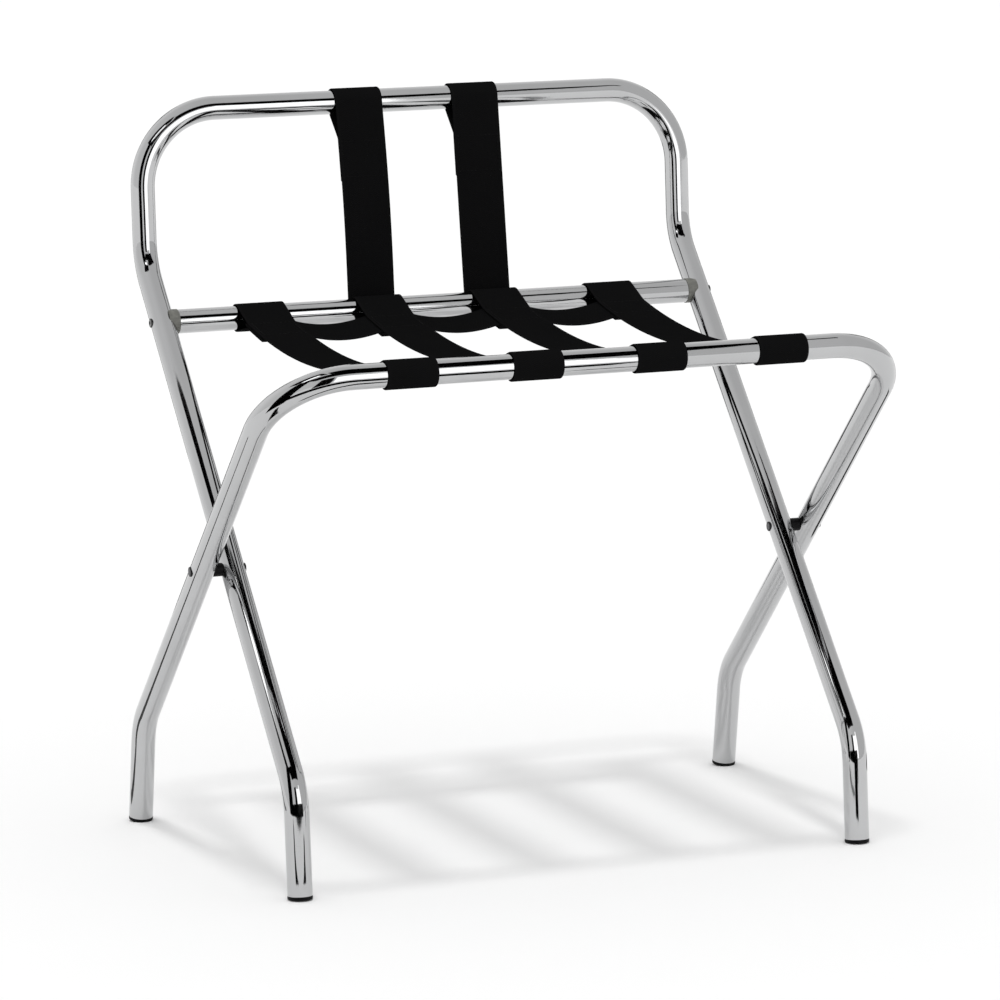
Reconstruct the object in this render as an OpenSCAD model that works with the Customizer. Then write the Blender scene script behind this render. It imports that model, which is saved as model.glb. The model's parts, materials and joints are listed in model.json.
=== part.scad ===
// Folding luggage rack with a backrest: two bent tube frames that cross at a
// pivot on each side, a rear crossbar, and webbing straps for the seat and back.
// Millimetres. X is the width, +Y the back, +Z up. The origin is on the floor
// under the middle of the rack. "Left" is the -X side, as seen from the front.

/* [Tube] */
// Outer diameter of the frame tubes and the crossbar
tube_d = 25; // [20:0.5:30]
// Wall thickness of every tube
tube_wall = 1.5; // [1:0.1:2.5]
// Centre-line radius of the round corners at the top bar and the seat rail
corner_r = 80; // [50:1:120]
// Centre-line radius of the bends above the feet and below the backrest
leg_bend_r = 65; // [40:1:90]

/* [Back frame] */
// Width of the back frame, between the centres of its legs
back_frame_w = 600; // [480:5:700]
// Lean of the back frame's legs from the vertical when the rack is open, in degrees
back_lean = 42.9; // [36:0.1:46]
// Distance along the leg from the pivot to the corner point of the foot bend
back_foot_run = 262.5; // [240:0.5:280]
// Distance along the leg from the pivot to the crossbar
crossbar_run = 305; // [280:0.5:315]
// Distance along the leg from the pivot to the corner point of the upper bend
backrest_run = 381.5; // [370:0.5:400]
// Length of the backrest's sides, from the upper bend to the top bar
backrest_rise = 156.5; // [150:0.5:220]
// Lean of the backrest's sides from the vertical, in degrees
backrest_lean = 2.6; // [0:0.1:8]
// Outward lean of the front feet, in degrees
front_foot_lean = 3.7; // [2:0.1:10]

/* [Front frame] */
// Lean of the front frame's legs from the vertical when the rack is open, in degrees
front_lean = 46.3; // [40:0.1:49]
// Distance along the leg from the pivot to the corner point of the foot bend
front_foot_run = 276.5; // [255:0.5:290]
// Distance along the leg from the pivot to the seat rail
seat_rail_run = 316; // [305:0.5:330]
// Outward lean of the rear feet, in degrees
rear_foot_lean = 9.5; // [2:0.1:12]

/* [Pivot] */
// Height of the pivot above the floor
pivot_h = 298; // [290:1:330]
// Gap between the two frames' tubes, which the spacers fill
pivot_gap = 7; // [5.5:0.1:12]
// Diameter of the pivot rivet's shank
rivet_d = 6; // [5:0.5:8]
// Diameter of the pivot rivet's heads
rivet_head_d = 10; // [9:0.5:14]
// Height of the pivot rivet's heads
rivet_head_h = 1.2; // [0.8:0.1:2]
// Diameter of the spacers, whose outer ends are cut to hug the tubes
spacer_d = 13.4; // [11:0.1:16]

/* [Crossbar] */
// Thickness of the saddle between the crossbar's end and the leg
saddle_t = 3; // [2:0.5:6]
// How far the saddle stands out past the crossbar, all round
saddle_lip = 0.5; // [0:0.1:2]
// How far the saddle's wings reach round the leg
saddle_wing = 8; // [4:0.5:10]
// Length of the threaded insert in each end of the crossbar
insert_l = 20; // [14:1:30]
// Diameter of the crossbar screws
screw_d = 6; // [4:0.5:8]
// Diameter of the crossbar screws' heads
screw_head_d = 9.5; // [9:0.1:14]
// Height of the crossbar screws' heads
screw_head_h = 1.4; // [1:0.1:3]
// Width of the hexagon socket in a screw's head, across its corners
screw_socket_d = 4.6; // [3:0.1:5]

/* [Feet] */
// Thickness of the foot caps below the tube
cap_t = 3.4; // [2:0.1:8]
// Length of the spigot that plugs into the tube
cap_spigot_l = 18; // [10:1:30]
// Wall of the hollow spigot
cap_spigot_wall = 2.5; // [1.5:0.1:4]
// Radius of the round lower edge
cap_edge_r = 1.2; // [0.5:0.1:2]
// Depth of the flat that the floor leaves on each sole
sole_flat = 0.4; // [0.2:0.05:0.6]

/* [Straps] */
// Width of the webbing
strap_w = 52; // [38:1:60]
// Thickness of the webbing
strap_t = 1.8; // [1.2:0.1:2.4]
// Distance between the middles of neighbouring seat straps
strap_pitch = 130; // [110:1:150]
// Distance from a bar's centre to where its loop is sewn shut
loop_l = 38; // [30:1:50]
// Length of the sewn tail past the loop
tail_l = 45; // [25:1:60]
// Sag of the seat straps below the line between their sewn ends
seat_sag = 18.5; // [8:0.5:30]
// Height of the front seam above the seat rail's centre
front_seam_rise = 1; // [-4:0.5:4]
// Depth of the rear seam below the crossbar's centre
rear_seam_drop = 1.8; // [-4:0.1:4]
// Sag of the cross strap between two seat straps
cross_sag = 6; // [3:0.5:10]

/* [Hidden] */
// Every piece by its name, and the one that is drawn
$fn = 96;

// Gap between a strap and what it wraps or lies on
strap_gap = 0.3;
// Radial clearance of a rivet, screw or spigot in its hole
fit_gap = 0.05;
// Half of the running gap between the two spacers of a pivot
face_gap = 0.05;
// Clearance of a screw in the leg that it passes through
hole_gap = 0.2;
// A bent tube is this much fuller in its bends
bend_swell = 0.1;
// How far a straight run reaches into the bends at its ends
bend_lap = 0.2;
// How far a crossbar screw stops short of its insert's inner end
screw_stop = 2;
// How far a spacer reaches past the side of its tube before it is cut to hug it
spacer_reach = 3;
// Extra depth of the seat straps' rear tails, which clears the curve of the cross strap
tail_clear = 0.4;
// Straight steps along a strap: in a long arc, in a short arc and in a tail
long_steps = 24;
short_steps = 12;
tail_steps = 3;
// Margin of a cutting solid past the faces that it cuts
cut = 1;
// Larger than the rack
big = 2000;

tube_r = tube_d / 2;
bore_r = tube_r - tube_wall;
back_x = back_frame_w / 2;
front_x = back_x + tube_d + pivot_gap;
spacer_x = back_x + tube_r + pivot_gap / 2;

// A direction in the side view, [y, z], that leans back by an angle from the vertical
function lean(angle) = [sin(angle), cos(angle)];
function unit(v) = v / norm(v);
function left_of(v) = [-v[1], v[0]];
function heading(v) = atan2(v[1], v[0]);

// Side view, [y, z]: the pivot, then what is found along each leg from it
back_dir = lean(back_lean);
front_dir = lean(-front_lean);
middle_y = (back_dir[0] * backrest_run + lean(backrest_lean)[0] * backrest_rise
    + front_dir[0] * seat_rail_run) / 2;
pivot = [-middle_y, pivot_h];
crossbar = pivot + back_dir * crossbar_run;
upper_bend = pivot + back_dir * backrest_run;
top_bar = upper_bend + lean(backrest_lean) * backrest_rise;
front_foot_bend = pivot - back_dir * back_foot_run;
seat_rail = pivot + front_dir * seat_rail_run;
rear_foot_bend = pivot - front_dir * front_foot_run;

// Height of a sole's centre when the floor cuts sole_flat off its lowest edge
function sole_z(angle) = (tube_r - cap_edge_r) * sin(angle)
    + cap_edge_r * (1 - cos(angle)) - sole_flat;
// Centre of a sole below a foot bend, with the foot leaning by an angle
function sole(bend, angle) = bend - lean(angle) * (bend[1] - sole_z(abs(angle))) / cos(angle);
front_sole = sole(front_foot_bend, front_foot_lean);
rear_sole = sole(rear_foot_bend, -rear_foot_lean);
front_tube_end = front_sole + lean(front_foot_lean) * cap_t;
rear_tube_end = rear_sole + lean(-rear_foot_lean) * cap_t;

// ---------- bent tubes ----------

// Puts a shape drawn in the side view, [y, z], into the rack at a distance x from the middle
module side_view(x = 0) {
    translate([x, 0, 0])
        rotate([90, 0, 90])
            children();
}

// Angle from direction a to direction b, positive to the left
function turn(a, b) = atan2(a[0] * b[1] - a[1] * b[0], a * b);
// Length that a bend of radius bend_r takes off each of its two straight sides
function bend_cut(a, b, bend_r) = bend_r * tan(abs(turn(a, b)) / 2);

// Straight round bar in the XY plane, from point a to point b
module run(a, b, r) {
    translate([a[0], a[1], 0])
        rotate([0, 0, heading(b - a)])
            rotate([0, 90, 0])
                cylinder(h = norm(b - a), r = r);
}

// Bend in the XY plane at corner point v, from direction a to direction b
module bend(v, a, b, bend_r, r) {
    swing = turn(a, b);
    side = left_of(a) * sign(swing);
    centre = v - a * bend_cut(a, b, bend_r) + side * bend_r;
    translate([centre[0], centre[1], 0])
        rotate([0, 0, heading(-side) + min(swing, 0)])
            rotate_extrude(angle = abs(swing))
                translate([bend_r, 0])
                    circle(r = r + bend_swell);
}

// Leg in the side view, from the open end of its foot to where the bow's corner begins.
// before lengthens the foot's end.
module leg(points, r, before) {
    last = len(points) - 1;
    dirs = [for (i = [0:last - 1]) unit(points[i + 1] - points[i])];
    cuts = [for (i = [0:last]) i == 0 ? -before
        : i == last ? corner_r - bend_lap
        : bend_cut(dirs[i - 1], dirs[i], leg_bend_r) - bend_lap];
    for (i = [0:last - 1])
        run(points[i] + dirs[i] * cuts[i], points[i + 1] - dirs[i] * cuts[i + 1], r);
    for (i = [1:last - 1])
        bend(points[i], dirs[i - 1], dirs[i], leg_bend_r, r);
}

// Bar across the rack at a point of the side view, with a round corner down to each leg
module bow(at, bow_lean, x, r) {
    across = x - corner_r + bend_lap;
    translate([0, at[0], at[1]])
        rotate([90 - bow_lean, 0, 0]) {
            run([-across, 0], [across, 0], r);
            bend([-x, 0], [0, 1], [1, 0], corner_r, r);
            bend([x, 0], [0, 1], [-1, 0], corner_r, r);
        }
}

module frame_path(points, x, bow_lean, r, before) {
    for (side = [-1, 1])
        side_view(side * x)
            leg(points, r, before);
    bow(points[len(points) - 1], bow_lean, x, r);
}

module back_frame_path(r, before = 0) {
    frame_path([front_tube_end, front_foot_bend, upper_bend, top_bar],
        back_x, backrest_lean, r, before);
}

module front_frame_path(r, before = 0) {
    frame_path([rear_tube_end, rear_foot_bend, seat_rail], front_x, -front_lean, r, before);
}

// Cylinder along X through both sides of the rack, at a point of the side view
module cross_drill(at, r) {
    side_view(-big / 2)
        translate([at[0], at[1], 0])
            cylinder(h = big, r = r);
}

module back_frame_tube() {
    color("silver")
        difference() {
            back_frame_path(tube_r);
            back_frame_path(bore_r, cut);
            cross_drill(pivot, rivet_d / 2 + fit_gap);
            cross_drill(crossbar, screw_d / 2 + hole_gap);
        }
}

module front_frame_tube() {
    color("silver")
        difference() {
            front_frame_path(tube_r);
            front_frame_path(bore_r, cut);
            cross_drill(pivot, rivet_d / 2 + fit_gap);
        }
}

// ---------- crossbar ----------

crossbar_end = back_x - tube_r - saddle_t;

// Round bar along X at a point of the side view, from x1 to x2
module x_bar(at, x1, x2, r) {
    side_view(min(x1, x2))
        translate([at[0], at[1], 0])
            cylinder(h = abs(x2 - x1), r = r);
}

// The leg of a frame as a plain round bar, to cut saddles with
module leg_cutter(x, leg_lean, r) {
    translate([x, pivot[0], pivot[1]])
        rotate([-leg_lean, 0, 0])
            cylinder(h = big, r = r, center = true);
}

module rear_crossbar() {
    color("silver")
        difference() {
            x_bar(crossbar, -crossbar_end, crossbar_end, tube_r);
            x_bar(crossbar, -crossbar_end - cut, crossbar_end + cut, bore_r);
        }
}

module crossbar_saddle(side) {
    color("dimgray")
        difference() {
            x_bar(crossbar, side * crossbar_end,
                side * (back_x - tube_r + saddle_wing), tube_r + saddle_lip);
            leg_cutter(side * back_x, back_lean, tube_r + fit_gap);
            cross_drill(crossbar, screw_d / 2 + hole_gap);
        }
}

module crossbar_insert(side) {
    color("darkgray")
        difference() {
            x_bar(crossbar, side * (crossbar_end - insert_l), side * crossbar_end, bore_r - fit_gap);
            cross_drill(crossbar, screw_d / 2 + fit_gap);
        }
}

module crossbar_screw(side) {
    seat_x = back_x + tube_r;
    socket_x = seat_x + screw_head_h / 2;
    color("gray") {
        x_bar(crossbar, side * (crossbar_end - insert_l + screw_stop), side * socket_x, screw_d / 2);
        difference() {
            x_bar(crossbar, side * (seat_x - screw_head_h), side * (seat_x + screw_head_h),
                screw_head_d / 2);
            leg_cutter(side * back_x, back_lean, tube_r + fit_gap);
            x_bar(crossbar, side * socket_x, side * (seat_x + screw_head_h + cut),
                screw_socket_d / 2, $fn = 6);
        }
    }
}

// ---------- pivot ----------

// The rivet is fast in the front frame and turns in the back frame
module pivot_rivet(side) {
    outer_x = front_x + tube_r;
    inner_x = back_x - tube_r - fit_gap;
    color("dimgray") {
        x_bar(pivot, side * inner_x, side * outer_x, rivet_d / 2);
        x_bar(pivot, side * (inner_x - rivet_head_h), side * inner_x, rivet_head_d / 2);
        difference() {
            x_bar(pivot, side * (outer_x - rivet_head_h), side * (outer_x + rivet_head_h),
                rivet_head_d / 2);
            leg_cutter(side * front_x, -front_lean, tube_r + fit_gap);
        }
    }
}

// Half profile of a spacer, from its flat face out to where the tube cuts it
module spacer_profile() {
    bore = rivet_d / 2 + fit_gap;
    translate([bore, face_gap])
        square([spacer_d / 2 - bore, pivot_gap / 2 + spacer_reach - face_gap]);
}

// outward is 1 for the front frame's spacer and -1 for the back frame's
module pivot_spacer(side, outward, leg_x, leg_lean) {
    color("black")
        difference() {
            translate([side * spacer_x, pivot[0], pivot[1]])
                rotate([0, side * outward * 90, 0])
                    rotate_extrude()
                        spacer_profile();
            leg_cutter(side * leg_x, leg_lean, tube_r + fit_gap);
        }
}

module outer_pivot_spacer(side) pivot_spacer(side, 1, front_x, -front_lean);
module inner_pivot_spacer(side) pivot_spacer(side, -1, back_x, back_lean);

// ---------- feet ----------

// Foot cap standing on its sole, with its spigot up
module cap_profile() {
    spigot_r = bore_r - fit_gap;
    difference() {
        union() {
            square([tube_r - cap_edge_r, cap_t]);
            translate([0, cap_edge_r])
                square([tube_r, cap_t - cap_edge_r]);
            translate([tube_r - cap_edge_r, cap_edge_r])
                circle(r = cap_edge_r);
            square([spigot_r, cap_t + cap_spigot_l]);
        }
        translate([-cap_edge_r, -cap_edge_r])
            square([cap_edge_r, big]);
        translate([-cut, cap_t])
            square([spigot_r - cap_spigot_wall + cut, cap_spigot_l + cut]);
    }
}

// The floor takes a thin flat off the low edge of the leaning sole
module foot_cap(x, at, foot_lean) {
    color("black")
        difference() {
            translate([x, at[0], at[1]])
                rotate([-foot_lean, 0, 0])
                    rotate_extrude()
                        cap_profile();
            translate([-big / 2, -big / 2, -big])
                cube(big);
        }
}

module front_foot_cap(side) foot_cap(side * back_x, front_sole, front_foot_lean);
module rear_foot_cap(side) foot_cap(side * front_x, rear_sole, -rear_foot_lean);

// ---------- straps ----------

// A webbing layer that lies on another is one pitch further out
layer = strap_t + strap_gap;
loop_r = tube_r + strap_gap + strap_t / 2;
outer_loop_r = loop_r + layer;

// Outline of a strap of thickness strap_t whose middle follows a path of points
function side_step(path, i) = let (
    n = len(path),
    a = unit(i == 0 ? path[1] - path[0] : path[i] - path[i - 1]),
    b = unit(i == n - 1 ? path[i] - path[i - 1] : path[i + 1] - path[i]),
    middle = unit(a + b)
) left_of(middle) * strap_t / 2 / (middle * b);
function strap_outline(path) = concat(
    [for (i = [0:len(path) - 1]) path[i] + side_step(path, i)],
    [for (i = [len(path) - 1:-1:0]) path[i] - side_step(path, i)]
);

// Points on a circle from angle a to angle b
function on_circle(centre, r, angle) = centre + r * [cos(angle), sin(angle)];
function wrap(centre, r, a, b, steps = long_steps) =
    [for (i = [0:steps]) on_circle(centre, r, a + (b - a) * i / steps)];

// Angle at which a straight strap from point p touches a circle: side is 1 where it
// touches to the left of the way from the centre to p, and -1 to the right
function touch(p, centre, r, side) =
    heading(p - centre) + side * acos(r / norm(p - centre));

// Seams where the loops are sewn shut, in the side view
rear_seam = crossbar + [-loop_l, -rear_seam_drop];
front_seam = seat_rail + [loop_l, front_seam_rise];
seat_chord = rear_seam - front_seam;
sag_r = (pow(norm(seat_chord) / 2, 2) + pow(seat_sag, 2)) / (2 * seat_sag);
sag_centre = (rear_seam + front_seam) / 2 + left_of(unit(seat_chord)) * (sag_r - seat_sag);
// Heading of the sag's lowest point, half of the angle that it spans, and a tail's share
sag_mid = heading(-left_of(seat_chord));
sag_half = asin(norm(seat_chord) / 2 / sag_r);
tail_angle = asin(tail_l / sag_r);

// Point on the sagging arc at an angle from its middle, at a depth below the strap's own middle
function on_sag(angle, depth = 0) = on_circle(sag_centre, sag_r + depth, sag_mid + angle);
function along_sag(a, b, depth = 0, steps = long_steps) =
    [for (i = [0:steps]) on_sag(a + (b - a) * i / steps, depth)];

// The rear tail lies under the cross strap, and the front tail under the strap itself
rear_tail_depth = 2 * layer + tail_clear;
front_tail_depth = layer;
seat_path = let (
    rear_tail = on_sag(sag_half, rear_tail_depth),
    front_tail = on_sag(-sag_half, front_tail_depth)
) concat(
    along_sag(sag_half - tail_angle, sag_half, rear_tail_depth, tail_steps),
    wrap(crossbar, loop_r, touch(rear_tail, crossbar, loop_r, 1),
        touch(rear_seam, crossbar, loop_r, -1) + 360),
    along_sag(sag_half, -sag_half),
    wrap(seat_rail, loop_r, touch(front_seam, seat_rail, loop_r, 1),
        touch(front_tail, seat_rail, loop_r, -1) + 360),
    along_sag(-sag_half, tail_angle - sag_half, front_tail_depth, tail_steps)
);

// Strap in the side view, with its middle at a place counted in seat strap pitches
module hung_strap(place, path) {
    color("black")
        side_view(place * strap_pitch - strap_w / 2)
            linear_extrude(strap_w)
                polygon(strap_outline(path));
}

module seat_strap(place) hung_strap(place, seat_path);

// The back strap leaves the front of the top bar and comes down behind the crossbar,
// where it lies outside the seat strap's loop and is sewn in under that strap's tail
back_run = crossbar - top_bar;
back_out = heading(back_run) + 270 + asin((loop_r + outer_loop_r) / norm(back_run));
back_top = on_circle(top_bar, loop_r, back_out);
back_low = on_circle(crossbar, outer_loop_r, back_out + 180);
back_seam = back_top + unit(back_low - back_top) * loop_l - on_circle([0, 0], layer, back_out);
back_tail = back_seam + unit(back_low - back_top) * tail_l;
low_tail_depth = rear_tail_depth + layer;
back_path = let (
    low_tail = on_sag(sag_half, low_tail_depth)
) concat(
    along_sag(sag_half - tail_angle, sag_half, low_tail_depth, tail_steps),
    wrap(crossbar, outer_loop_r, touch(low_tail, crossbar, outer_loop_r, 1), back_out - 180,
        short_steps),
    wrap(top_bar, loop_r, back_out, touch(back_seam, top_bar, loop_r, 1)),
    [back_seam, back_tail]
);

module back_strap(side) hung_strap(side / 2, back_path);

// Places of the seat straps, counted in pitches from the middle
outer_place = 1.5;
inner_place = 0.5;

// The cross strap is sewn between each seat strap and its tail, and sags between them
cross_start = strap_pitch / 2 - strap_w / 2;
cross_end = outer_place * strap_pitch + strap_w / 2;
cross_sag_r = (pow(cross_start, 2) + pow(cross_sag, 2)) / (2 * cross_sag);
cross_sag_half = asin(cross_start / cross_sag_r);
cross_path = concat(
    [[-cross_end, 0]],
    [for (place = [-1:1:1]) each wrap([place * strap_pitch, cross_sag_r - cross_sag],
        cross_sag_r, -90 - cross_sag_half, -90 + cross_sag_half, short_steps)],
    [[cross_end, 0]]
);

module cross_strap() {
    cross_angle = sag_half - tail_angle + asin(strap_w / 2 / sag_r);
    middle = on_sag(cross_angle, layer);
    color("black")
        translate([0, middle[0], middle[1]])
            rotate([sag_mid + cross_angle + 180, 0, 0])
                linear_extrude(strap_w, center = true)
                    polygon(strap_outline(cross_path));
}

back_frame_tube();
front_frame_tube();
rear_crossbar();
crossbar_saddle(-1);  // crossbar_saddle_left
crossbar_saddle(1);  // crossbar_saddle_right
crossbar_insert(-1);  // crossbar_insert_left
crossbar_insert(1);  // crossbar_insert_right
crossbar_screw(-1);  // crossbar_screw_left
crossbar_screw(1);  // crossbar_screw_right
pivot_rivet(-1);  // pivot_rivet_left
pivot_rivet(1);  // pivot_rivet_right
outer_pivot_spacer(-1);  // outer_pivot_spacer_left
outer_pivot_spacer(1);  // outer_pivot_spacer_right
inner_pivot_spacer(-1);  // inner_pivot_spacer_left
inner_pivot_spacer(1);  // inner_pivot_spacer_right
front_foot_cap(-1);  // front_foot_cap_left
front_foot_cap(1);  // front_foot_cap_right
rear_foot_cap(-1);  // rear_foot_cap_left
rear_foot_cap(1);  // rear_foot_cap_right
seat_strap(-outer_place);  // seat_strap_left_outer
seat_strap(-inner_place);  // seat_strap_left_inner
seat_strap(inner_place);  // seat_strap_right_inner
seat_strap(outer_place);  // seat_strap_right_outer
cross_strap();
back_strap(-1);  // back_strap_left
back_strap(1);  // back_strap_right
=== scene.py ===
"""Folding luggage rack: chrome tube frames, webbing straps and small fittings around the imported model."""

import json
import math

import bmesh
import bpy
from mathutils import Matrix, Vector

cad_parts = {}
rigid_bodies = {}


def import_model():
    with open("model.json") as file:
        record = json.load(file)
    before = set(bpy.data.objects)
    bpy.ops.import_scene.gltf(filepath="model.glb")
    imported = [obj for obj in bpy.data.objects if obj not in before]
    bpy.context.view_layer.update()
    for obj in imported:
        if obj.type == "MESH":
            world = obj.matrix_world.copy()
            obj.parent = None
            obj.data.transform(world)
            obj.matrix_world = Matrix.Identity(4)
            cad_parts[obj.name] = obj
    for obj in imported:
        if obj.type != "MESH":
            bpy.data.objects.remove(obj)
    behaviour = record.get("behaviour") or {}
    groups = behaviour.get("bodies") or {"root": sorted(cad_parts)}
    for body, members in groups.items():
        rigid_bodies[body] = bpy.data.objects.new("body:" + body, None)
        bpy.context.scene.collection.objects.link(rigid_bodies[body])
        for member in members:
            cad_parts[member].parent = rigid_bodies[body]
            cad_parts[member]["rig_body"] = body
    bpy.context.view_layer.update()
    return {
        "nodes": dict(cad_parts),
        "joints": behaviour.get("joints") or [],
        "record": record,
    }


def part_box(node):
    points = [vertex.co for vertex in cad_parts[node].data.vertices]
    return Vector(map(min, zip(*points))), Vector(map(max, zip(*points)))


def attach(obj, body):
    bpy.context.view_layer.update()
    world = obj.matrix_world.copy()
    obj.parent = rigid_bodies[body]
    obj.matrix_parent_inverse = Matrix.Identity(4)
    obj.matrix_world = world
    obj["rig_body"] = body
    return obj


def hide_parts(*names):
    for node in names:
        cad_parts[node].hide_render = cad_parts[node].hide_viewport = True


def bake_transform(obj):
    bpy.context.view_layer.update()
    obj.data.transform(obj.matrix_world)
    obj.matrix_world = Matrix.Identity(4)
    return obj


bl_info = {
    "name": "Folding Luggage Rack",
    "version": (1, 0, 0),
    "blender": (4, 5, 0),
    "location": "View3D > Sidebar > Luggage Rack",
    "description": "Builds a folding luggage rack with a backrest, its materials and a small studio",
    "category": "Object",
}

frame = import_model()

MM = 0.001
BACK = "back_frame"
FRONT = "front_frame"
SIDES = ("left", "right")
SEAT_STRAPS = {
    "seat_strap_left_outer": -1.5,
    "seat_strap_left_inner": -0.5,
    "seat_strap_right_inner": 0.5,
    "seat_strap_right_outer": 1.5,
}
BACK_STRAPS = {"back_strap_left": -0.5, "back_strap_right": 0.5}

# Points nearer than this, in metres, count as one
TINY = 1e-6
# Rounding of a tube's cut ends
TUBE_RIM = 0.4 * MM
HEAD_SIDES = 48
# Share of a screw's shank that its pointed tip takes off
TIP_TAPER = 0.25
# Radius of the flat round a screw's socket, as a share of the socket's
SOCKET_RIM = 1.12
SOCKET_EDGE = 0.05 * MM
# Steps along a sewn tail, the seat's sag, a back strap, its tail and a flat run of the cross strap
TAIL_STEPS = 12
SAG_STEPS = 96
BACK_STEPS = 24
BACK_TAIL_STEPS = 6
FLAT_STEPS = 6
# Share of the thread's thickness that a stitch's middle stands above the webbing
STITCH_LIFT = 0.15
# Shortest and longest stitch, as shares of the usual one
STITCH_SPREAD = (0.9, 1.08)


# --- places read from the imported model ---

def middle(node):
    """The middle of a node's box."""
    low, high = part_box(node)
    return (low + high) / 2


def flat(v):
    """A point's side view: (y, z)."""
    return Vector((v.y, v.z))


def lean(angle):
    """A direction in the side view that leans back by an angle from the vertical."""
    return Vector((math.sin(angle), math.cos(angle)))


def crossing(p, d, q, e):
    """Where the line through p along d meets the line through q along e, in the side view."""
    gap = q - p
    return p + d * (gap.x * e.y - gap.y * e.x) / (d.x * e.y - d.y * e.x)


BAR_LOW, BAR_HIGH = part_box("rear_crossbar")
TUBE_R = (BAR_HIGH.z - BAR_LOW.z) / 2
CROSSBAR = flat(middle("rear_crossbar"))
PIVOT = Vector(frame["joints"][0]["pos_m"][1:])
BACK_X = middle("front_foot_cap_right").x
FRONT_X = middle("rear_foot_cap_right").x
BEND_SWELL = 0.1 * MM
TOP_BAR = flat(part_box("back_frame_tube")[1]) - Vector((1, 1)) * (TUBE_R + BEND_SWELL)
SEAT_RAIL = Vector((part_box("front_frame_tube")[0].y + TUBE_R + BEND_SWELL,
                    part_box("front_frame_tube")[1].z - TUBE_R - BEND_SWELL))


# --- settings ---

def length(name, default, description):
    return bpy.props.FloatProperty(name=name, description=description, default=default,
                                   min=0.0, precision=4, unit="LENGTH")


def angle(name, default, description):
    return bpy.props.FloatProperty(name=name, description=description,
                                   default=math.radians(default), unit="ROTATION")


def colour(name, default, description):
    return bpy.props.FloatVectorProperty(name=name, description=description, default=default,
                                         size=3, min=0.0, max=1.0, subtype="COLOR")


def share(name, default, description):
    return bpy.props.FloatProperty(name=name, description=description, default=default,
                                   min=0.0, max=10.0, subtype="FACTOR")


class RackTubeSettings(bpy.types.PropertyGroup):
    """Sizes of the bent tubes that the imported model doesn't give by its boxes"""
    wall: length("Wall", 1.5 * MM, "Wall thickness of the tubes")
    corner_r: length("Corner radius", 80 * MM, "Radius at the top bar and the seat rail")
    bend_r: length("Bend radius", 65 * MM, "Radius of the bends in the legs")
    back_foot_run: length("Front foot run", 262.5 * MM, "From the pivot down to the front foot's bend")
    front_foot_run: length("Rear foot run", 276.5 * MM, "From the pivot down to the rear foot's bend")
    backrest_lean: angle("Backrest lean", 2.6, "Lean of the backrest's sides")
    front_foot_lean: angle("Front foot lean", 3.7, "Outward lean of the front feet")
    rear_foot_lean: angle("Rear foot lean", 9.5, "Outward lean of the rear feet")
    cap_t: length("Cap thickness", 3.4 * MM, "Thickness of the foot caps")
    cap_edge_r: length("Cap edge", 1.2 * MM, "Radius of the caps' round lower edge")
    sole_flat: length("Sole flat", 0.4 * MM, "Depth of the flat on each sole")


class RackStrapSettings(bpy.types.PropertyGroup):
    """Sizes of the webbing straps and their stitches"""
    width: length("Width", 52 * MM, "Width of the webbing")
    thickness: length("Thickness", 1.8 * MM, "Thickness of the webbing")
    gap: length("Gap", 0.3 * MM, "Gap between a strap and what it lies on")
    pitch: length("Pitch", 130 * MM, "Distance between neighbouring seat straps")
    loop_l: length("Loop", 38 * MM, "From a bar's centre to where its loop is sewn shut")
    tail_l: length("Tail", 45 * MM, "Length of the sewn tail past the loop")
    sag: length("Sag", 18.5 * MM, "Sag of the seat straps")
    front_rise: length("Front seam rise", 1 * MM, "Height of the front seam above the rail's centre")
    rear_drop: length("Rear seam drop", 1.8 * MM, "Depth of the rear seam below the crossbar's centre")
    cross_sag: length("Cross sag", 6 * MM, "Sag of the cross strap between seat straps")
    left_bow: length("Left bow", 1.7 * MM, "Sideways slack of the left back strap, halfway up")
    tail_clear: length("Tail clearance", 0.4 * MM, "Extra depth of a tail under the cross strap")
    stitch_l: length("Stitch length", 3.2 * MM, "Length of one stitch")
    stitch_gap: length("Stitch gap", 0.9 * MM, "Gap between two stitches")
    thread_d: length("Thread", 0.7 * MM, "Thickness of the sewing thread")


class RackFittingSettings(bpy.types.PropertyGroup):
    """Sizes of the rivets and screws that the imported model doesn't give by its boxes"""
    shank_d: length("Shank", 6 * MM, "Diameter of the rivets' and the screws' shanks")
    rivet_head_h: length("Rivet head", 1.2 * MM, "Height of the rivets' heads")
    screw_head_h: length("Screw head", 1.4 * MM, "Height of the screws' heads")
    head_edge: length("Head edge", 0.3 * MM, "Height of the heads' upright edges")
    socket_d: length("Socket", 4.6 * MM, "Width of the screws' sockets, across corners")
    socket_depth: length("Socket depth", 1.1 * MM, "Depth of the screws' sockets")


class RackFinishSettings(bpy.types.PropertyGroup):
    """Colours and gloss of the rack's finishes"""
    chrome: colour("Chrome", (0.522, 0.525, 0.53), "Reflected colour of the chrome plating")
    chrome_roughness: share("Chrome roughness", 0.045, "Roughness of the polished chrome")
    steel: colour("Rivet steel", (0.13, 0.13, 0.135), "Colour of the rivets")
    screw: colour("Screw steel", (0.30, 0.30, 0.30), "Colour of the screws")
    black_plastic: colour("Black plastic", (0.0042, 0.0042, 0.0045), "Colour of the caps and spacers")
    grey_plastic: colour("Grey plastic", (0.15, 0.15, 0.135), "Colour of the crossbar saddles")
    webbing: colour("Webbing", (0.0061, 0.0061, 0.0063), "Colour of the woven straps")
    thread: colour("Thread", (0.0062, 0.0062, 0.0065), "Colour of the sewing thread")


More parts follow.
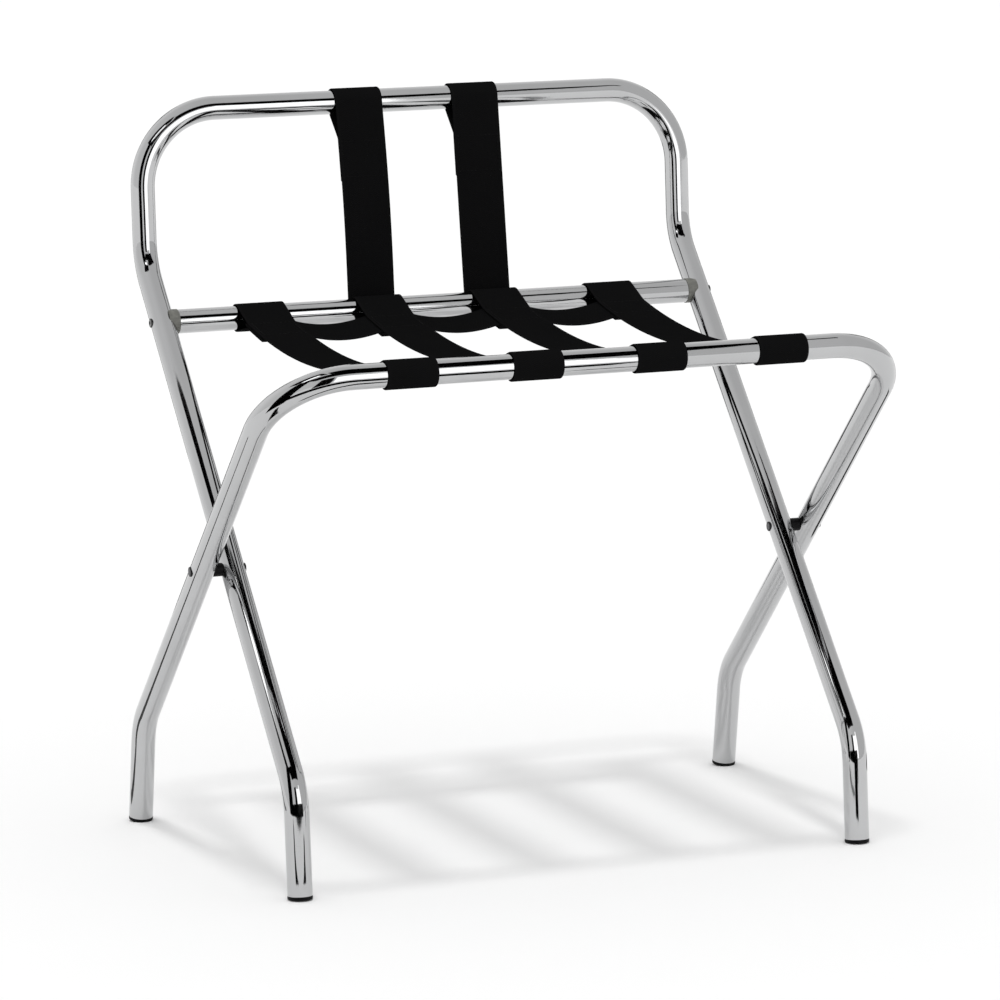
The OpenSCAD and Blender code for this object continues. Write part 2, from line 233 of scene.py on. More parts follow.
class RackStudioSettings(bpy.types.PropertyGroup):
    """Light, floor and camera"""
    sky: share("Sky", 0.84, "Strength of the even light from all round")
    key: share("Key light", 0.66, "Strength of the soft light from above")
    key_size: angle("Key size", 7.0, "Angle that the key light fills")
    floor: colour("Floor", (0.98, 0.98, 0.98), "Colour of the floor")
    lens: bpy.props.FloatProperty(name="Lens", description="Focal length of the camera in millimetres",
                                  default=193.9, min=1.0)
    camera_place: bpy.props.FloatVectorProperty(
        name="Camera", description="Place of the camera", default=(-2.0037, -5.0367, 1.2251),
        size=3, subtype="TRANSLATION", unit="LENGTH")
    camera_yaw: angle("Yaw", -21.65, "The camera's turn from looking along +Y")
    camera_pitch: angle("Pitch", 9.24, "How far the camera looks down")
    camera_roll: angle("Roll", -0.66, "The camera's roll about its own axis")


# --- mesh helpers ---

def place(x, yz):
    """A point of the rack from its distance to the right and its side view place."""
    return Vector((x, yz.x, yz.y))


def new_object(name, points, faces, materials, smooth=True, edges=()):
    """A mesh object at the origin, from points and faces."""
    mesh = bpy.data.meshes.new(name)
    mesh.from_pydata([tuple(p) for p in points], edges, faces)
    mesh.polygons.foreach_set("use_smooth", [smooth] * len(mesh.polygons))
    for material in materials:
        mesh.materials.append(material)
    made = bpy.data.objects.new(name, mesh)
    bpy.context.scene.collection.objects.link(made)
    return made


def skin(name, points, us, spans, closed, material, uv_map):
    """A mesh through rings of points, each with its u, and columns, each with the v of both sides.

    Where the rings don't close on themselves, the first and the last are capped.
    """
    rows, columns = len(us), len(spans)
    faces, uvs = [], []
    for i in range(rows if closed else rows - 1):
        j = (i + 1) % rows
        for k, (v, w) in enumerate(spans):
            n = (k + 1) % columns
            faces.append((i * columns + k, i * columns + n, j * columns + n, j * columns + k))
            uvs += [(us[i], v), (us[i], w), (us[j], w), (us[j], v)]
    if not closed:
        last = (rows - 1) * columns
        faces += [tuple(range(columns - 1, -1, -1)), tuple(range(last, last + columns))]
        uvs += [(us[0], v) for v, _ in reversed(spans)] + [(us[-1], v) for v, _ in spans]
    made = new_object(name, points, faces, [material])
    layer = made.data.uv_layers.new(name=uv_map)
    layer.uv.foreach_set("vector", [x for uv in uvs for x in uv])
    return made


def rounded_path(corners, radii, step):
    """Points and directions along a line through corners, each turned with its radius.

    Bends get a point every step radians; straight runs only have their two ends.
    """
    path = []
    for i, corner in enumerate(corners):
        if i in (0, len(corners) - 1):
            ahead = corners[1] - corners[0] if i == 0 else corners[-1] - corners[-2]
            path.append((corner.copy(), ahead.normalized()))
            continue
        before = (corner - corners[i - 1]).normalized()
        after = (corners[i + 1] - corner).normalized()
        swing = before.angle(after)
        radius = radii[i - 1]
        cut = radius * math.tan(swing / 2)
        inward = (after - before * before.dot(after)).normalized()
        centre = corner - before * cut + inward * radius
        count = max(2, math.ceil(swing / step))
        for k in range(count + 1):
            a = swing * k / count
            out = -inward * math.cos(a) + before * math.sin(a)
            path.append((centre + out * radius, before * math.cos(a) + inward * math.sin(a)))
    return path


def carried(side, before, after):
    """A side direction carried from one direction of travel to the next without twist."""
    return (before.rotation_difference(after) @ side).normalized()


def tube(name, path, outer_r, inner_r, sides, material, lap=TUBE_RIM):
    """A hollow round tube along a path of points and directions, with softened rims.

    Its UV map holds metres along the tube and turns round it.
    """
    side = path[0][1].orthogonal().normalized()
    travel = 0.0
    frames = []
    for i, (point, ahead) in enumerate(path):
        if i:
            side = carried(side, path[i - 1][1], ahead)
            travel += (point - path[i - 1][0]).length
        frames.append((point, ahead, side, travel))
    first, last = frames[0], frames[-1]
    profile = [(first, inner_r, 0.0), (first, outer_r - lap, 0.0)]
    profile.append(((first[0] + first[1] * lap, *first[1:]), outer_r, 1.0))
    profile += [(ring, outer_r, 1.0) for ring in frames[1:-1]]
    profile.append(((last[0] - last[1] * lap, *last[1:]), outer_r, 1.0))
    profile += [(last, outer_r - lap, 0.0), (last, inner_r, 0.0)]
    profile += [(ring, inner_r, -1.0) for ring in reversed(frames[1:-1])]
    points, normals = [], []
    for (point, ahead, across, _), radius, outward in profile:
        up = ahead.cross(across)
        for k in range(sides):
            a = 2 * math.pi * k / sides
            out = across * math.cos(a) + up * math.sin(a)
            points.append(point + out * radius)
            normals.append(out * outward if outward else None)
    spans = [(k / sides, (k + 1) / sides) for k in range(sides)]
    made = skin(name, points, [ring[3] for ring, _, _ in profile], spans, True, material, "Along")
    made.data.calc_loop_triangles()
    corner_normals = []
    for polygon in made.data.polygons:
        on_wall = all(normals[v] is not None for v in polygon.vertices)
        corner_normals += [normals[v] if on_wall else polygon.normal.copy() for v in polygon.vertices]
    made.data.normals_split_custom_set(corner_normals)
    return made


def hexagon(a):
    """Radius of a hexagon at an angle, as a share of its corner radius."""
    sector = math.pi / 3
    return math.cos(sector / 2) / math.cos(a % sector - sector / 2)


def lathe(name, profile, origin, axis, sides, material, sharp=math.radians(40)):
    """A turned solid. Its profile's rows are radius, height and whether the ring is a hexagon."""
    axis = axis.normalized()
    across = axis.orthogonal().normalized()
    up = axis.cross(across)
    points, rings = [], []
    for radius, height, six_sided in profile:
        centre = origin + axis * height
        if radius < TINY:
            rings.append([len(points)] * sides)
            points.append(centre)
            continue
        rings.append(list(range(len(points), len(points) + sides)))
        for k in range(sides):
            a = 2 * math.pi * k / sides
            reach = radius * (hexagon(a) if six_sided else 1.0)
            points.append(centre + (across * math.cos(a) + up * math.sin(a)) * reach)
    faces = []
    for low, high in zip(rings, rings[1:]):
        for k in range(sides):
            n = (k + 1) % sides
            face = []
            for index in (low[k], low[n], high[n], high[k]):
                if index not in face:
                    face.append(index)
            faces.append(tuple(face))
    made = new_object(name, points, faces, [material])
    made.data.set_sharp_from_angle(angle=sharp)
    return made


def smooth_copy(node, name, material, edge, crease=math.radians(32), corner=math.radians(40)):
    """A merged, smooth-shaded copy of a CAD node, which it stands for.

    Edges sharper than crease stay sharp; those sharper than corner are softened by edge.
    """
    source = frame["nodes"][node]
    mesh = source.data.copy()
    work = bmesh.new()
    work.from_mesh(mesh)
    bmesh.ops.remove_doubles(work, verts=work.verts, dist=TINY)
    bmesh.ops.dissolve_degenerate(work, edges=work.edges, dist=TINY)
    work.to_mesh(mesh)
    work.free()
    mesh.materials.clear()
    mesh.materials.append(material)
    mesh.polygons.foreach_set("use_smooth", [True] * len(mesh.polygons))
    mesh.set_sharp_from_angle(angle=crease)
    made = bpy.data.objects.new(name, mesh)
    bpy.context.scene.collection.objects.link(made)
    if edge:
        bevel = made.modifiers.new("Edge", "BEVEL")
        bevel.width = edge
        bevel.segments = 2
        bevel.limit_method = "ANGLE"
        bevel.angle_limit = corner
    finish_piece(made, node)
    return made


def slot_of(node):
    """The record's material slot of a CAD node."""
    rows = frame["record"]["subparts"]
    return next(row["material_slot"] for row in rows if row["node"] == node)


# --- materials ---

class Value:
    """A shader socket that adds Math nodes when it is used in an expression."""

    def __init__(self, tree, socket):
        self.tree = tree
        self.socket = socket

    def math(self, operation, *operands):
        """A Math node's result, from this value alone or from the operands in their order."""
        node = self.tree.nodes.new("ShaderNodeMath")
        node.operation = operation
        for target, source in zip(node.inputs, operands or (self,)):
            feed(self.tree, target, source)
        return Value(self.tree, node.outputs[0])

    def __add__(self, other):
        return self.math("ADD", self, other)

    def __sub__(self, other):
        return self.math("SUBTRACT", self, other)

    def __rsub__(self, other):
        return self.math("SUBTRACT", other, self)

    def __mul__(self, other):
        return self.math("MULTIPLY", self, other)

    def __truediv__(self, other):
        return self.math("DIVIDE", self, other)

    __radd__ = __add__
    __rmul__ = __mul__

    def sine(self):
        return self.math("SINE")

    def size(self):
        return self.math("ABSOLUTE")

    def step(self, low, high):
        """0 below low and 1 above high, smooth between them."""
        node = self.tree.nodes.new("ShaderNodeMapRange")
        node.interpolation_type = "SMOOTHSTEP"
        feed(self.tree, node.inputs["Value"], self)
        node.inputs["From Min"].default_value = low
        node.inputs["From Max"].default_value = high
        return Value(self.tree, node.outputs["Result"])


def feed(tree, target, source):
    """Sets a socket to a value, or links it to a socket."""
    if isinstance(source, Value):
        source = source.socket
    if isinstance(source, bpy.types.NodeSocket):
        tree.links.new(source, target)
    else:
        target.default_value = source


class Nodes:
    """A node tree, cleared, with one way to add a node."""

    def __init__(self, tree):
        self.tree = tree
        tree.nodes.clear()

    def node(self, kind, options=None, out=0, **inputs):
        """Adds a node. Options come first; inputs are named, with _ for a space, or in_0 for a place."""
        made = self.tree.nodes.new(kind)
        for key, value in (options or {}).items():
            setattr(made, key, value)
        for key, source in inputs.items():
            place = int(key[3:]) if key.startswith("in_") else key.replace("_", " ")
            feed(self.tree, made.inputs[place], source)
        return Value(self.tree, made.outputs[out]) if made.outputs else None

    def mix(self, factor, a, b):
        """A colour between a and b."""
        return self.node("ShaderNodeMix", {"data_type": "RGBA"}, out=2,
                         in_0=factor, in_6=a, in_7=b)

    def noise(self, place, scale, detail=2.0, roughness=0.5, out=0):
        return self.node("ShaderNodeTexNoise", out=out, Vector=place, Scale=scale,
                         Detail=detail, Roughness=roughness)

    def stretched(self, place, x, y, z):
        """A place with its axes scaled, so that a pattern is drawn out."""
        return self.node("ShaderNodeVectorMath", {"operation": "MULTIPLY"}, in_0=place, in_1=(x, y, z))

    def objects(self):
        """Object coordinates, in metres."""
        return self.node("ShaderNodeTexCoord", out=3)

    def uv(self, name):
        return self.node("ShaderNodeUVMap", {"uv_map": name})

    def parts(self, vector):
        """The x, y and z values of a vector."""
        made = self.tree.nodes.new("ShaderNodeSeparateXYZ")
        feed(self.tree, made.inputs[0], vector)
        return [Value(self.tree, s) for s in made.outputs]

    def bump(self, height, distance, strength=1.0):
        return self.node("ShaderNodeBump", Height=height, Distance=distance, Strength=strength)

    def surface(self, **inputs):
        """The Principled shader and the output of a material."""
        shader = self.node("ShaderNodeBsdfPrincipled", **inputs)
        self.node("ShaderNodeOutputMaterial", Surface=shader)


def new_material(name):
    """A material and its empty node tree."""
    material = bpy.data.materials.new(name)
    material.use_nodes = True
    return material, Nodes(material.node_tree)


def rgba(colour, factor=1.0):
    return (colour[0] * factor, colour[1] * factor, colour[2] * factor, 1.0)


def chrome(name, finish):
    """Bright chrome plating: faint waves in the tube, polishing haze and a few fine scuffs."""
    material, s = new_material(name)
    at = s.objects()
    waves = s.noise(at, 26.0, 1.0)
    haze = s.noise(at, 9.0, 4.0, 0.6)
    along, around, _ = s.parts(s.uv("Along"))
    fine = s.noise(s.node("ShaderNodeCombineXYZ", X=along * 1100.0, Y=around * 9.0), 1.0, 2.0)
    scuffs = s.noise(s.stretched(at, 60.0, 60.0, 900.0), 1.0, 2.0).step(0.70, 0.76)
    height = waves * 0.6 + fine * 0.01
    s.surface(
        Base_Color=s.mix(haze.step(0.35, 0.7), rgba(finish.chrome, 0.97), rgba(finish.chrome, 1.03)),
        Metallic=1.0,
        Roughness=finish.chrome_roughness + haze * 0.025 + scuffs * 0.05 + fine * 0.01,
        Normal=s.bump(height, 0.25 * MM),
    )
    return material


def fastener_steel(name, base, axis):
    """Dull steel with a fine grain and brighter rubbed spots, and painted shade that darkens each head's
    rim where it meets its tube.

    axis is the side view place of the fasteners' common axis.
    """
    material, s = new_material(name)
    at = s.objects()
    grain = s.noise(at, 2600.0, 3.0)
    rub = s.noise(at, 420.0, 2.0).step(0.45, 0.7)
    _, y, z = s.parts(at)
    out = ((y - axis.x) * (y - axis.x) + (z - axis.y) * (z - axis.y)).math("SQRT")
    # Painted shade: the base colour darkens towards each head's rim, where it meets its tube.
    painted_rim_shade = (out + grain * 0.6 * MM).step(3.6 * MM, 4.7 * MM)
    bare = s.mix(rub, rgba(base, 0.8), rgba(base, 1.4))
    s.surface(
        Base_Color=s.mix(painted_rim_shade, bare, rgba(base, 0.22)),
        Metallic=1.0,
        Roughness=0.42 - rub * 0.12 + grain * 0.08,
        Normal=s.bump(grain, 0.03 * MM),
    )
    return material


def moulded_plastic(name, base, roughness, gloss):
    """Moulded plastic: fine spark-eroded grain, with paler scuffs."""
    material, s = new_material(name)
    at = s.objects()
    grain = s.noise(at, 3200.0, 3.0, 0.6)
    patches = s.noise(at, 160.0, 3.0)
    scuffs = s.noise(s.stretched(at, 900.0, 900.0, 240.0), 1.0, 2.0).step(0.66, 0.74)
    tone = s.mix(patches.step(0.3, 0.75), rgba(base, 0.85), rgba(base, 1.2))
    s.surface(
        Base_Color=s.mix(scuffs * 0.35, tone, rgba(base, 2.4)),
        Roughness=roughness + grain * 0.14 - patches * 0.08,
        Specular_IOR_Level=gloss,
        Normal=s.bump(grain, 0.05 * MM, 0.8),
    )
    return material


def webbing(name, finish, straps):
    """Black woven webbing: twill ribs that slant across yarn columns, firm selvedges and loose fuzz."""
    material, s = new_material(name)
    along, across, _ = s.parts(s.uv("Weave"))
    yarn = 1.5 * MM
    pick = 1.9 * MM
    column = across / yarn
    zigzag = ((column / 6.0).math("FRACT") - 0.5).size() * 6.0
    rib = ((along / pick + zigzag * 0.5) * (2 * math.pi)).sine() * 0.5 + 0.5
    cord = ((column * (2 * math.pi)).sine()).size()
    half = straps.width / 2
    edge = (across - half).size().step(half - 3.2 * MM, half - 2.2 * MM)
    weave = (rib * (1 - edge) + edge * 0.6) * (0.45 + cord * 0.55)
    fuzz = s.noise(s.objects(), 1900.0, 3.0, 0.7)
    worn = s.noise(s.objects(), 22.0, 3.0)
    tone = s.mix(weave, rgba(finish.webbing, 0.55), rgba(finish.webbing, 1.35))
    s.surface(
        Base_Color=s.mix(fuzz.step(0.55, 0.8) * 0.4 + worn * 0.15, tone, rgba(finish.webbing, 2.2)),
        Roughness=0.94 - weave * 0.10,
        Specular_IOR_Level=0.0,
        Normal=s.bump(weave * 0.8 + fuzz * 0.25, 0.35 * MM),
    )
    return material


def sewing_thread(name, finish):
    """Black polyester thread with a twist."""
    material, s = new_material(name)
    x, y, z = s.parts(s.objects())
    twist = (((x + y + z) / (0.5 * MM)) * (2 * math.pi)).sine() * 0.5 + 0.5
    s.surface(
        Base_Color=s.mix(twist, rgba(finish.thread, 0.7), rgba(finish.thread, 1.6)),
        Roughness=0.9 - twist * 0.15,
        Specular_IOR_Level=0.1,
        Normal=s.bump(twist, 0.08 * MM),
    )
    return material


def finishes(context):
    """All the rack's materials by the record's slots, made once."""
    straps = context.scene.rack_straps
    finish = context.scene.rack_finish
    makers = {
        "chrome_tube": ("chrome_plating", chrome, finish),
        "fastener_steel": ("rivet_steel", fastener_steel, finish.steel, PIVOT),
        "screw_steel": ("screw_steel", fastener_steel, finish.screw, CROSSBAR),
        "black_plastic": ("black_moulded_plastic", moulded_plastic, finish.black_plastic, 0.42, 0.10),
        "grey_plastic": ("grey_moulded_plastic", moulded_plastic, finish.grey_plastic, 0.5, 0.4),
        "webbing": ("black_webbing", webbing, finish, straps),
        "thread": ("black_thread", sewing_thread, finish),
    }
    return {slot: bpy.data.materials.get(name) or make(name, *given)
            for slot, (name, make, *given) in makers.items()}


# --- studio ---

class RACK_OT_studio(bpy.types.Operator):
    """Make the floor, the soft light, the reflectors that the chrome shows and the camera"""
    bl_idname = "rack.studio"
    bl_label = "Studio"

    def execute(self, context):
        studio = context.scene.rack_studio
        scene = context.scene
        scene.view_settings.view_transform = "Standard"
        make_world(scene, studio)
        make_key(studio)
        make_floor(studio)
        for name, centre, across, up, strength in REFLECTORS:
            make_reflector(name, Vector(centre), Vector(across), Vector(up), strength)
        make_camera(scene, studio)
        return {"FINISHED"}


# Studio cards that only glossy faces see: name, middle, half width, half height and strength
REFLECTORS = (
    ("front_softbox", (0.24, -2.1, 0.8), (0.62, 0, 0), (0, 0, 0.65), 2.1),
    ("high_softbox", (0.7, -2.1, 1.61), (0.14, 0, 0), (0, 0, 0.16), 2.1),
    ("left_softbox", (-0.74, -0.39, 1.34), (0.19, 0, 0), (0, 0.06, 0), 2.4),
    ("overhead_flag", (-0.2, -0.92, 1.35), (0.76, 0, 0), (0, 0.3, 0), 0),
    ("middle_flag", (0.1, -0.47, 1.35), (0.5, 0, 0), (0, 0.15, 0), 0),
    ("right_overhead_flag", (0.56, -0.33, 1.35), (0.13, 0, 0), (0, 0.07, 0), 0),
    ("left_overhead_flag", (-0.76, -0.213, 1.35), (0.32, -0.107, 0), (0, 0.19, 0), 0),
    ("low_flag", (-0.42, -0.95, 0.14), (0.78, 0, 0), (0, 0, 0.14), 0),
    ("left_flag", (-1.15, -0.6, 0.9), (0.2, -0.2, 0), (0, 0, 0.9), 0),
    ("front_flag", (-0.78, -2.1, 0.8), (0.32, 0, 0), (0, 0, 0.8), 0),
    ("right_foot_flag", (0.225, -0.45, 0.06), (0.06, 0, 0), (0, 0, 0.06), 0),
    ("left_floor_flag", (-0.6, 0.189, 0.002), (0.2, 0.077, 0), (-0.0126, 0.0327, 0), 0.1),
    ("right_floor_flag", (0.675, 0.073, 0.002), (0.095, -0.064, 0), (0.062, 0.065, 0), 0.05),
    ("left_foot_flag", (-0.103, -0.489, 0.002), (0.131, -0.151, 0), (0.03, 0.026, 0), 0),
    ("left_foot_side_flag", (-0.597, -0.448, 0.002), (-0.212, -0.1325, 0), (0.0185, -0.0297, 0), 0),
    ("back_flag", (-0.26, 2.1, 0.8), (0.2, 0, 0), (0, 0, 0.8), 0),
    ("right_back_flag", (1.56, 1.47, 0.8), (0.09, -0.1, 0), (0, 0, 0.8), 0),
)


def make_world(scene, studio):
    """White behind the rack, even light on it, and soft grey walls for the chrome to reflect."""
    world = bpy.data.worlds.new("studio_world")
    scene.world = world
    world.use_nodes = True
    s = Nodes(world.node_tree)
    x, y, z = s.parts(s.node("ShaderNodeTexCoord", out=0))
    behind = y.step(0.1, 0.9) * 0.20
    left = (0 - x).step(-0.2, 0.7) * 0.13
    walls = 0.70 + behind + left
    seen = s.node("ShaderNodeLightPath", out=0)
    glossy = s.node("ShaderNodeLightPath", out=3)
    strength = seen + (1 - seen) * (glossy * walls + (1 - glossy) * studio.sky)
    background = s.node("ShaderNodeBackground", Color=(1, 1, 1, 1), Strength=strength)
    s.node("ShaderNodeOutputWorld", Surface=background)


def make_key(studio):
    """A soft sun nearly overhead, from the front left."""
    light = bpy.data.lights.new("key_light", "SUN")
    light.energy = studio.key
    light.angle = studio.key_size
    key = bpy.data.objects.new("key_light", light)
    key.visible_glossy = False
    bpy.context.scene.collection.objects.link(key)
    key.rotation_euler = Vector((-0.075, -0.133, 1.0)).to_track_quat("Z", "Y").to_euler()


def make_floor(studio):
    """A wide pale floor."""
    reach = 30.0
    corners = [(-reach, -reach, 0), (reach, -reach, 0), (reach, reach, 0), (-reach, reach, 0)]
    material, s = new_material("pale_floor")
    s.surface(Base_Color=rgba(studio.floor), Roughness=1.0, Specular_IOR_Level=0.0)
    new_object("floor", corners, [(0, 1, 2, 3)], [material])


def make_reflector(name, centre, across, up, strength):
    """A flat card that is seen in the chrome and nowhere else."""
    corners = [centre - across - up, centre + across - up, centre + across + up, centre - across + up]
    material, s = new_material(name)
    light = s.node("ShaderNodeEmission", Color=(1, 1, 1, 1), Strength=strength)
    s.node("ShaderNodeOutputMaterial", Surface=light)
    card = new_object(name, corners, [(0, 1, 2, 3)], [material])
    for rays in ("camera", "diffuse", "transmission", "shadow"):
        setattr(card, "visible_" + rays, False)


def make_camera(scene, studio):
    """The camera, at the three-quarter view from the front left."""
    lens = bpy.data.cameras.new("camera")
    lens.sensor_width = 36.0
    lens.lens = studio.lens
    lens.clip_end = 100.0
    camera = bpy.data.objects.new("camera", lens)
    scene.collection.objects.link(camera)
    yaw, pitch, roll = studio.camera_yaw, studio.camera_pitch, studio.camera_roll
    back = Vector((math.sin(yaw) * math.cos(pitch), -math.cos(yaw) * math.cos(pitch), math.sin(pitch)))
    right = (-back).cross(Vector((0, 0, 1))).normalized()
    up = right.cross(-back)
    turned_right = right * math.cos(roll) + up * math.sin(roll)
    turned_up = up * math.cos(roll) - right * math.sin(roll)
    axes = Matrix((turned_right, turned_up, back)).transposed()
    camera.matrix_world = Matrix.Translation(studio.camera_place) @ axes.to_4x4()
    scene.camera = camera


# --- tubes ---

def leg_places(tubes):
    """The corner points of both frames' legs in the side view, from the foot's open end up."""
    back_dir = (CROSSBAR - PIVOT).normalized()
    front_dir = (SEAT_RAIL - PIVOT).normalized()
    front_bend = PIVOT - back_dir * tubes.back_foot_run
    rear_bend = PIVOT - front_dir * tubes.front_foot_run
    upper_bend = crossing(PIVOT, back_dir, TOP_BAR, lean(tubes.backrest_lean))

    def sole(bend, foot_lean):
        """Where a foot's centre line meets its sole, whose low edge the floor has flattened."""
        slope = abs(foot_lean)
        height = ((TUBE_R - tubes.cap_edge_r) * math.sin(slope)
                  + tubes.cap_edge_r * (1 - math.cos(slope)) - tubes.sole_flat)
        return bend - lean(foot_lean) * (bend.y - height) / math.cos(foot_lean)

    front_sole = sole(front_bend, tubes.front_foot_lean)
    rear_sole = sole(rear_bend, -tubes.rear_foot_lean)
    return {
        "front_sole": front_sole,
        "rear_sole": rear_sole,
        "back": [front_sole + lean(tubes.front_foot_lean) * tubes.cap_t, front_bend, upper_bend, TOP_BAR],
        "front": [rear_sole + lean(-tubes.rear_foot_lean) * tubes.cap_t, rear_bend, SEAT_RAIL],
    }


class RACK_OT_tubes(bpy.types.Operator):
    """Make the two bent chrome frames and the crossbar"""
    bl_idname = "rack.tubes"
    bl_label = "Chrome tubes"

    step = math.radians(3)
    sides = 64

    def execute(self, context):
        tubes = context.scene.rack_tubes
        plating = finishes(context)["chrome_tube"]
        places = leg_places(tubes)
        for name, leg, x in (("back_frame", places["back"], BACK_X),
                             ("front_frame", places["front"], FRONT_X)):
            corners = [place(-x, p) for p in leg] + [place(x, p) for p in reversed(leg)]
            bends = [tubes.bend_r] * (len(leg) - 2)
            radii = [*bends, tubes.corner_r, tubes.corner_r, *bends]
            made = tube(name + "_chrome", rounded_path(corners, radii, self.step),
                        TUBE_R, TUBE_R - tubes.wall, self.sides, plating)
            finish_piece(made, name + "_tube")
        tips = [Vector((BAR_LOW.x, *CROSSBAR)), Vector((BAR_HIGH.x, *CROSSBAR))]
        bar = tube("crossbar_chrome", rounded_path(tips, [], self.step),
                   TUBE_R, TUBE_R - tubes.wall, self.sides, plating)
        finish_piece(bar, "rear_crossbar")
        return {"FINISHED"}


# --- fittings ---

def dome(radius, edge, height, inner=0.0, steps=10):
    """Profile of a round head above its seat, from the top of its upright edge in to a radius."""
    last = math.acos(inner / radius)
    rows = [last * k / steps for k in range(steps + 1)]
    return [(radius * math.cos(a), edge + (height - edge) * math.sin(a), False) for a in rows]


def skirt(radius):
    """How far a head's side reaches down past its seat to meet the round tube."""
    return TUBE_R - math.sqrt(TUBE_R ** 2 - radius ** 2)


def ends(node, side):
    """A cross-lying fitting's inner and outer end, the direction out, and the radius of its head."""
    low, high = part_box(node)
    centre = (low + high) / 2
    inner, outer = (high, low) if side == "left" else (low, high)
    out = Vector((math.copysign(1.0, outer.x), 0, 0))
    return (Vector((inner.x, centre.y, centre.z)), Vector((outer.x, centre.y, centre.z)),
            out, (high.z - low.z) / 2)


def make_rivet(side, fittings, material):
    """A rivet with a domed head at each end."""
    node = f"pivot_rivet_{side}"
    inner, outer, out, radius = ends(node, side)
    run = (outer - inner).length
    head, shank = fittings.rivet_head_h, fittings.shank_d / 2
    cap = dome(radius, fittings.head_edge, head)
    profile = [(r, head - h, False) for r, h, _ in reversed(cap)]
    profile += [(radius, head + skirt(radius), False), (shank, head + skirt(radius), False)]
    profile += [(shank, run - head - skirt(radius), False), (radius, run - head - skirt(radius), False)]
    profile += [(r, run - head + h, False) for r, h, _ in cap]
    made = lathe(node + "_domed", profile, inner, out, HEAD_SIDES, material)
    finish_piece(made, node)


def make_screw(side, fittings, material):
    """A button-head screw with a hexagon socket."""
    node = f"crossbar_screw_{side}"
    inner, outer, out, radius = ends(node, side)
    run = (outer - inner).length
    head, shank, socket = fittings.screw_head_h, fittings.shank_d / 2, fittings.socket_d / 2
    seat = run - head
    tip = shank * TIP_TAPER
    button = dome(radius, fittings.head_edge, head, socket * SOCKET_RIM)
    profile = [(0.0, 0.0, False), (shank - tip, 0.0, False), (shank, tip, False)]
    profile += [(shank, seat - skirt(radius), False), (radius, seat - skirt(radius), False)]
    profile += [(r, seat + h, False) for r, h, _ in button]
    top = profile[-1][1]
    profile += [(socket, top - SOCKET_EDGE, True), (socket, top - fittings.socket_depth, True)]
    profile += [(0.0, top - fittings.socket_depth, False)]
    made = lathe(node + "_button", profile, inner, out, HEAD_SIDES, material)
    finish_piece(made, node)


def finish_piece(made, node):
    """A piece rides with the CAD node that it stands for, and the node is hidden."""
    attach(made, frame["nodes"][node]["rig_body"])
    slot_of(node)
    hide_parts(node)


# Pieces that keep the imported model's shape, with the width of their softened edges
MOULDED = {
    "crossbar_saddle": 0.3 * MM,
    "outer_pivot_spacer": 0.3 * MM,
    "inner_pivot_spacer": 0.3 * MM,
    "crossbar_insert": 0.0,
    "front_foot_cap": 0.0,
    "rear_foot_cap": 0.0,
}


class RACK_OT_fittings(bpy.types.Operator):
    """Make the foot caps, spacers, saddles and inserts, and the domed rivets and screws"""
    bl_idname = "rack.fittings"
    bl_label = "Caps and fasteners"

    def execute(self, context):
        fittings = context.scene.rack_fittings
        materials = finishes(context)
        for side in SIDES:
            for node, edge in MOULDED.items():
                full = f"{node}_{side}"
                smooth_copy(full, full + "_moulded", materials[slot_of(full)], edge)
            make_rivet(side, fittings, materials["fastener_steel"])
            make_screw(side, fittings, materials["screw_steel"])
        return {"FINISHED"}


# --- straps ---

def turned(v):
    """A side view direction turned a quarter to the left."""
    return Vector((-v.y, v.x))


def heading(v):
    return math.atan2(v.y, v.x)


def on_circle(centre, radius, a):
    return centre + toward(a) * radius


def wrap(centre, radius, start, end, steps=40):
    """Points round a bar from one angle to another."""
    return [on_circle(centre, radius, start + (end - start) * k / steps) for k in range(steps + 1)]


def toward(a):
    """The side view direction at an angle."""
    return Vector((math.cos(a), math.sin(a)))


def touch(p, centre, radius, side):
    """Angle at which a straight strap from p touches a circle, on the given side."""
    away = p - centre
    return heading(away) + side * math.acos(radius / away.length)


def loop(bar, radius, start, end):
    """Points of a strap's loop round a bar, from one point off it to another."""
    return wrap(bar, radius, touch(start, bar, radius, 1), touch(end, bar, radius, -1) + 2 * math.pi)


